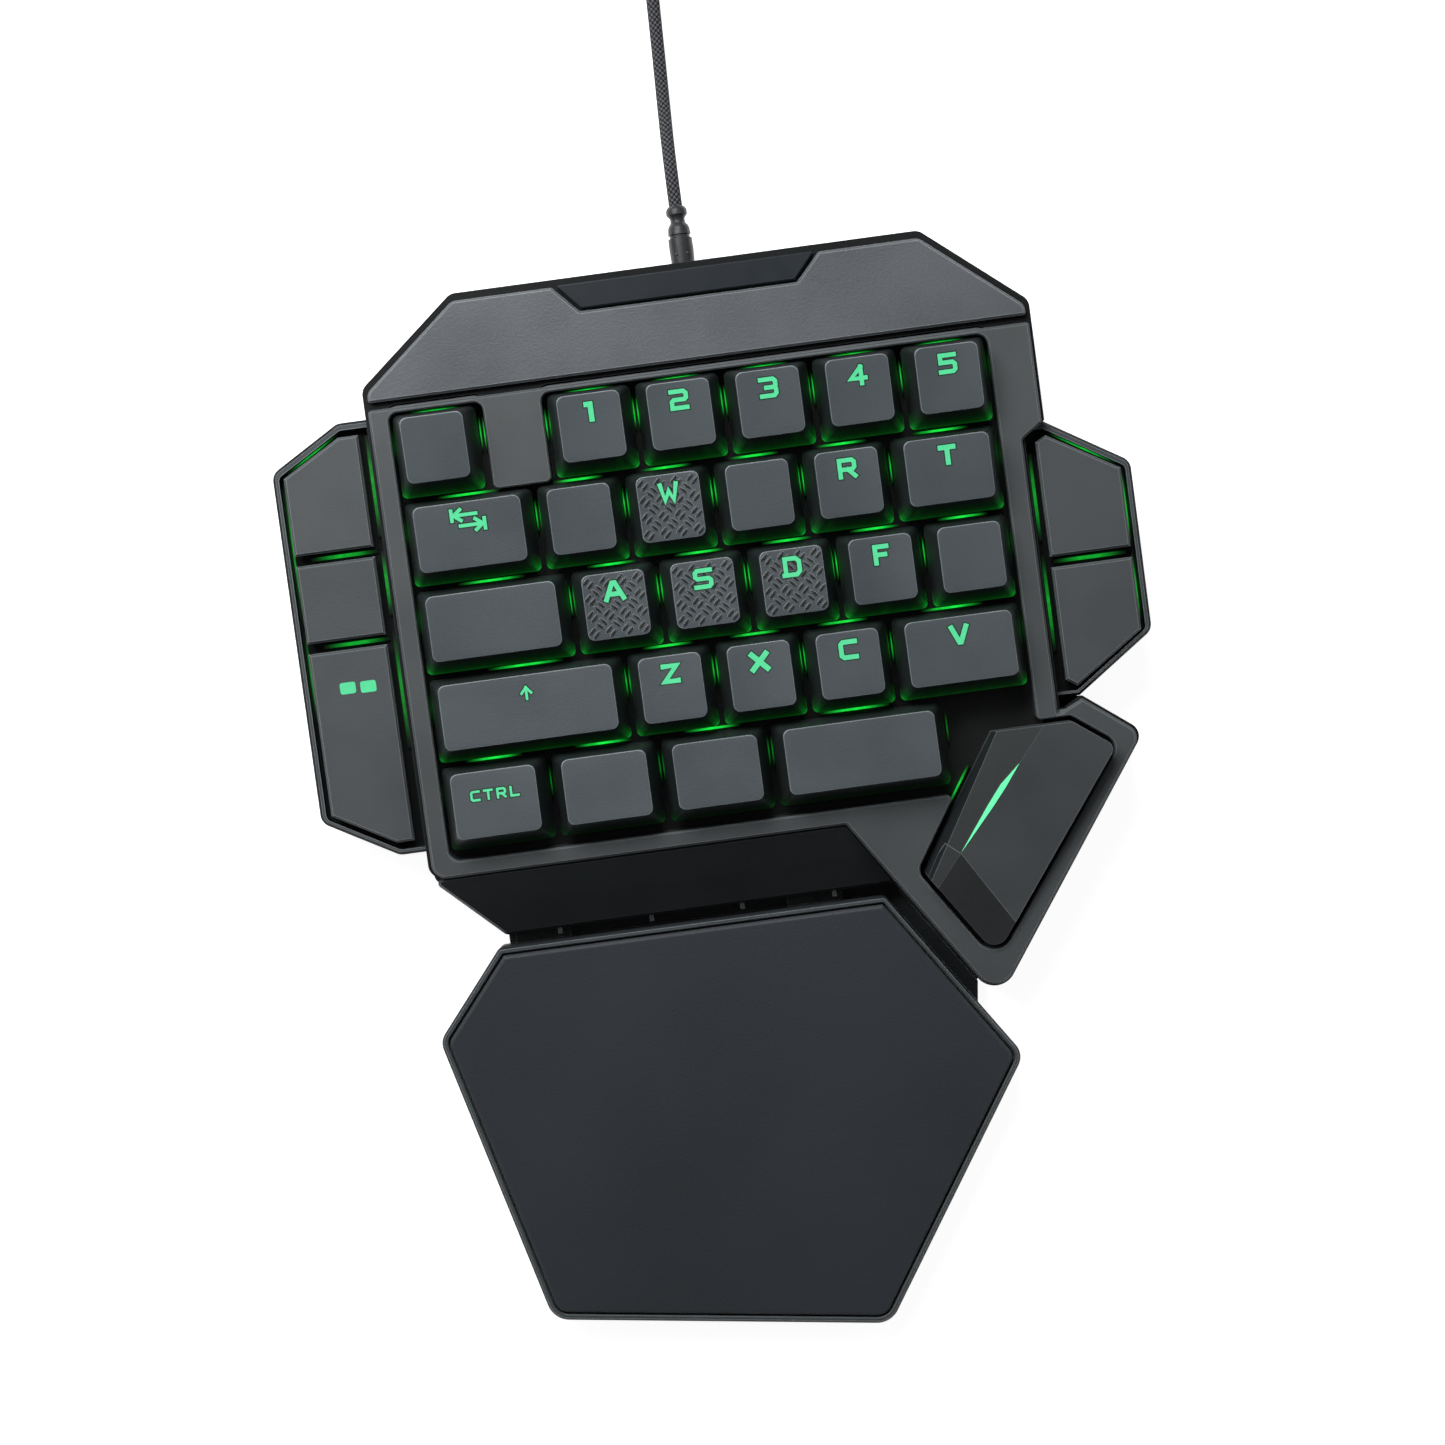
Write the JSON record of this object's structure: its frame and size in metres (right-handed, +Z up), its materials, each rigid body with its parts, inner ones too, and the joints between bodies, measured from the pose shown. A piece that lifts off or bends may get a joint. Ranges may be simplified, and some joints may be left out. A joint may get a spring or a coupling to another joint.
{
  "type": "one-handed mechanical keypad",
  "caption": "One-handed mechanical keypad with green-lit keys, side wings, faceted thumb key, detachable wrist rest and braided USB cable.",
  "frame": {"origin": "centre of the footprint on the desk, without the cable", "axes": "+X to the right along the rows of keys, +Y to the rear where the cable leaves, +Z up"},
  "size_m": [0.183, 0.3592, 0.0346],
  "materials": {
    "keycap": "satin, dark grey, lit from below through its legend",
    "side_keycap": "satin grey",
    "thumb_plastic": "satin charcoal",
    "thumb_insert": "matt, almost black",
    "light_pipe": "translucent, lit mint green",
    "housing": "matt black",
    "plate_steel": "black coat on steel",
    "board_fibre": "black solder mask",
    "lamp": "clear lens, lit green",
    "chip": "moulded black",
    "case_plastic": "fine-textured dark grey",
    "base_plastic": "fine-textured black",
    "frame_plastic": "satin charcoal",
    "deck_plastic": "satin metallic grey",
    "badge_plastic": "smoked, half gloss",
    "apron_plastic": "matt black",
    "foot_rubber": "matt",
    "screw_steel": "black oxide",
    "rest_plastic": "fine-textured black",
    "rest_rubber": "soft-touch, matt",
    "cable_sleeve": "braided, dark grey",
    "relief_rubber": "satin grey",
    "tie_plastic": "black",
    "plug_body": "black grip with a nickel-plated shell"
  },
  "bodies": {
    "chassis": {"switch_lower_housings": "housing", "switch_upper_housings": "housing", "switch_plate": "plate_steel", "circuit_board": "board_fibre", "key_lamps": "lamp", "controller_chip": "chip", "side_switches": "housing", "key_frame_plate": "frame_plastic", "rear_deck_plate": "deck_plastic", "badge_panel": "badge_plastic", "upper_case": "case_plastic", "front_apron": "apron_plastic", "base_shell": "base_plastic", "rubber_feet": "foot_rubber", "case_screws": "screw_steel", "cable_strain_relief": "relief_rubber", "cable_run": "cable_sleeve", "cable_coil": "cable_sleeve", "cable_tie": "tie_plastic", "usb_plug": "plug_body"},
    "key_esc": {"key_esc": "keycap"},
    "key_1": {"key_1": "keycap"},
    "key_2": {"key_2": "keycap"},
    "key_3": {"key_3": "keycap"},
    "key_4": {"key_4": "keycap"},
    "key_5": {"key_5": "keycap"},
    "key_tab": {"key_tab": "keycap"},
    "key_q": {"key_q": "keycap"},
    "key_w": {"key_w": "keycap"},
    "key_e": {"key_e": "keycap"},
    "key_r": {"key_r": "keycap"},
    "key_t": {"key_t": "keycap"},
    "key_caps_lock": {"key_caps_lock": "keycap"},
    "key_a": {"key_a": "keycap"},
    "key_s": {"key_s": "keycap"},
    "key_d": {"key_d": "keycap"},
    "key_f": {"key_f": "keycap"},
    "key_g": {"key_g": "keycap"},
    "key_shift": {"key_shift": "keycap"},
    "key_z": {"key_z": "keycap"},
    "key_x": {"key_x": "keycap"},
    "key_c": {"key_c": "keycap"},
    "key_v": {"key_v": "keycap"},
    "key_ctrl": {"key_ctrl": "keycap"},
    "key_system": {"key_system": "keycap"},
    "key_alt": {"key_alt": "keycap"},
    "key_space": {"key_space": "keycap"},
    "side_key_left_upper": {"side_key_left_upper": "side_keycap"},
    "side_key_left_middle": {"side_key_left_middle": "side_keycap"},
    "side_key_left_lower": {"side_key_left_lower": "side_keycap"},
    "side_key_right_upper": {"side_key_right_upper": "side_keycap"},
    "side_key_right_lower": {"side_key_right_lower": "side_keycap"},
    "thumb_key": {"thumb_key": "thumb_plastic", "thumb_key_insert": "thumb_insert", "thumb_light_strip": "light_pipe"},
    "tilt_foot_left": {"tilt_foot_left": "base_plastic"},
    "tilt_foot_right": {"tilt_foot_right": "base_plastic"},
    "wrist_rest": {"wrist_rest_base": "rest_plastic", "wrist_rest_cover": "rest_rubber", "wrist_rest_feet": "foot_rubber"}
  },
  "joints": [
    {"name": "press_esc", "type": "slide", "parent": "chassis", "child": "key_esc", "axis": [0, 0.0523, -0.9986], "range_m": [0, 0.004], "stiffness_N_per_m": 75, "springref_m": -0.004},
    {"name": "press_1", "type": "slide", "parent": "chassis", "child": "key_1", "axis": [0, 0.0523, -0.9986], "range_m": [0, 0.004], "stiffness_N_per_m": 75, "springref_m": -0.004},
    {"name": "press_2", "type": "slide", "parent": "chassis", "child": "key_2", "axis": [0, 0.0523, -0.9986], "range_m": [0, 0.004], "stiffness_N_per_m": 75, "springref_m": -0.004},
    {"name": "press_3", "type": "slide", "parent": "chassis", "child": "key_3", "axis": [0, 0.0523, -0.9986], "range_m": [0, 0.004], "stiffness_N_per_m": 75, "springref_m": -0.004},
    {"name": "press_4", "type": "slide", "parent": "chassis", "child": "key_4", "axis": [0, 0.0523, -0.9986], "range_m": [0, 0.004], "stiffness_N_per_m": 75, "springref_m": -0.004},
    {"name": "press_5", "type": "slide", "parent": "chassis", "child": "key_5", "axis": [0, 0.0523, -0.9986], "range_m": [0, 0.004], "stiffness_N_per_m": 75, "springref_m": -0.004},
    {"name": "press_tab", "type": "slide", "parent": "chassis", "child": "key_tab", "axis": [0, 0.0523, -0.9986], "range_m": [0, 0.004], "stiffness_N_per_m": 75, "springref_m": -0.004},
    {"name": "press_q", "type": "slide", "parent": "chassis", "child": "key_q", "axis": [0, 0.0523, -0.9986], "range_m": [0, 0.004], "stiffness_N_per_m": 75, "springref_m": -0.004},
    {"name": "press_w", "type": "slide", "parent": "chassis", "child": "key_w", "axis": [0, 0.0523, -0.9986], "range_m": [0, 0.004], "stiffness_N_per_m": 75, "springref_m": -0.004},
    {"name": "press_e", "type": "slide", "parent": "chassis", "child": "key_e", "axis": [0, 0.0523, -0.9986], "range_m": [0, 0.004], "stiffness_N_per_m": 75, "springref_m": -0.004},
    {"name": "press_r", "type": "slide", "parent": "chassis", "child": "key_r", "axis": [0, 0.0523, -0.9986], "range_m": [0, 0.004], "stiffness_N_per_m": 75, "springref_m": -0.004},
    {"name": "press_t", "type": "slide", "parent": "chassis", "child": "key_t", "axis": [0, 0.0523, -0.9986], "range_m": [0, 0.004], "stiffness_N_per_m": 75, "springref_m": -0.004},
    {"name": "press_caps_lock", "type": "slide", "parent": "chassis", "child": "key_caps_lock", "axis": [0, 0.0523, -0.9986], "range_m": [0, 0.004], "stiffness_N_per_m": 75, "springref_m": -0.004},
    {"name": "press_a", "type": "slide", "parent": "chassis", "child": "key_a", "axis": [0, 0.0523, -0.9986], "range_m": [0, 0.004], "stiffness_N_per_m": 75, "springref_m": -0.004},
    {"name": "press_s", "type": "slide", "parent": "chassis", "child": "key_s", "axis": [0, 0.0523, -0.9986], "range_m": [0, 0.004], "stiffness_N_per_m": 75, "springref_m": -0.004},
    {"name": "press_d", "type": "slide", "parent": "chassis", "child": "key_d", "axis": [0, 0.0523, -0.9986], "range_m": [0, 0.004], "stiffness_N_per_m": 75, "springref_m": -0.004},
    {"name": "press_f", "type": "slide", "parent": "chassis", "child": "key_f", "axis": [0, 0.0523, -0.9986], "range_m": [0, 0.004], "stiffness_N_per_m": 75, "springref_m": -0.004},
    {"name": "press_g", "type": "slide", "parent": "chassis", "child": "key_g", "axis": [0, 0.0523, -0.9986], "range_m": [0, 0.004], "stiffness_N_per_m": 75, "springref_m": -0.004},
    {"name": "press_shift", "type": "slide", "parent": "chassis", "child": "key_shift", "axis": [0, 0.0523, -0.9986], "range_m": [0, 0.004], "stiffness_N_per_m": 75, "springref_m": -0.004},
    {"name": "press_z", "type": "slide", "parent": "chassis", "child": "key_z", "axis": [0, 0.0523, -0.9986], "range_m": [0, 0.004], "stiffness_N_per_m": 75, "springref_m": -0.004},
    {"name": "press_x", "type": "slide", "parent": "chassis", "child": "key_x", "axis": [0, 0.0523, -0.9986], "range_m": [0, 0.004], "stiffness_N_per_m": 75, "springref_m": -0.004},
    {"name": "press_c", "type": "slide", "parent": "chassis", "child": "key_c", "axis": [0, 0.0523, -0.9986], "range_m": [0, 0.004], "stiffness_N_per_m": 75, "springref_m": -0.004},
    {"name": "press_v", "type": "slide", "parent": "chassis", "child": "key_v", "axis": [0, 0.0523, -0.9986], "range_m": [0, 0.004], "stiffness_N_per_m": 75, "springref_m": -0.004},
    {"name": "press_ctrl", "type": "slide", "parent": "chassis", "child": "key_ctrl", "axis": [0, 0.0523, -0.9986], "range_m": [0, 0.004], "stiffness_N_per_m": 75, "springref_m": -0.004},
    {"name": "press_system", "type": "slide", "parent": "chassis", "child": "key_system", "axis": [0, 0.0523, -0.9986], "range_m": [0, 0.004], "stiffness_N_per_m": 75, "springref_m": -0.004},
    {"name": "press_alt", "type": "slide", "parent": "chassis", "child": "key_alt", "axis": [0, 0.0523, -0.9986], "range_m": [0, 0.004], "stiffness_N_per_m": 75, "springref_m": -0.004},
    {"name": "press_space", "type": "slide", "parent": "chassis", "child": "key_space", "axis": [0, 0.0523, -0.9986], "range_m": [0, 0.004], "stiffness_N_per_m": 75, "springref_m": -0.004},
    {"name": "press_side_left_upper", "type": "slide", "parent": "chassis", "child": "side_key_left_upper", "axis": [0, 0.0523, -0.9986], "range_m": [0, 0.002], "stiffness_N_per_m": 150, "springref_m": -0.004},
    {"name": "press_side_left_middle", "type": "slide", "parent": "chassis", "child": "side_key_left_middle", "axis": [0, 0.0523, -0.9986], "range_m": [0, 0.002], "stiffness_N_per_m": 150, "springref_m": -0.004},
    {"name": "press_side_left_lower", "type": "slide", "parent": "chassis", "child": "side_key_left_lower", "axis": [0, 0.0523, -0.9986], "range_m": [0, 0.002], "stiffness_N_per_m": 150, "springref_m": -0.004},
    {"name": "press_side_right_upper", "type": "slide", "parent": "chassis", "child": "side_key_right_upper", "axis": [0, 0.0523, -0.9986], "range_m": [0, 0.002], "stiffness_N_per_m": 150, "springref_m": -0.004},
    {"name": "press_side_right_lower", "type": "slide", "parent": "chassis", "child": "side_key_right_lower", "axis": [0, 0.0523, -0.9986], "range_m": [0, 0.002], "stiffness_N_per_m": 150, "springref_m": -0.004},
    {"name": "press_thumb", "type": "slide", "parent": "chassis", "child": "thumb_key", "axis": [0, 0.0523, -0.9986], "range_m": [0, 0.004], "stiffness_N_per_m": 75, "springref_m": -0.004},
    {"name": "unfold_left_foot", "type": "hinge", "parent": "chassis", "child": "tilt_foot_left", "pos_m": [-0.043, 0.10165, 0.0043], "axis": [1, 0, 0], "range_deg": [0, 90]},
    {"name": "unfold_right_foot", "type": "hinge", "parent": "chassis", "child": "tilt_foot_right", "pos_m": [0.0472, 0.10165, 0.0043], "axis": [1, 0, 0], "range_deg": [0, 90]},
    {"name": "detach_wrist_rest", "type": "slide", "parent": "chassis", "child": "wrist_rest", "axis": [0, -1, 0], "range_m": [0, 0.012]}
  ]
}
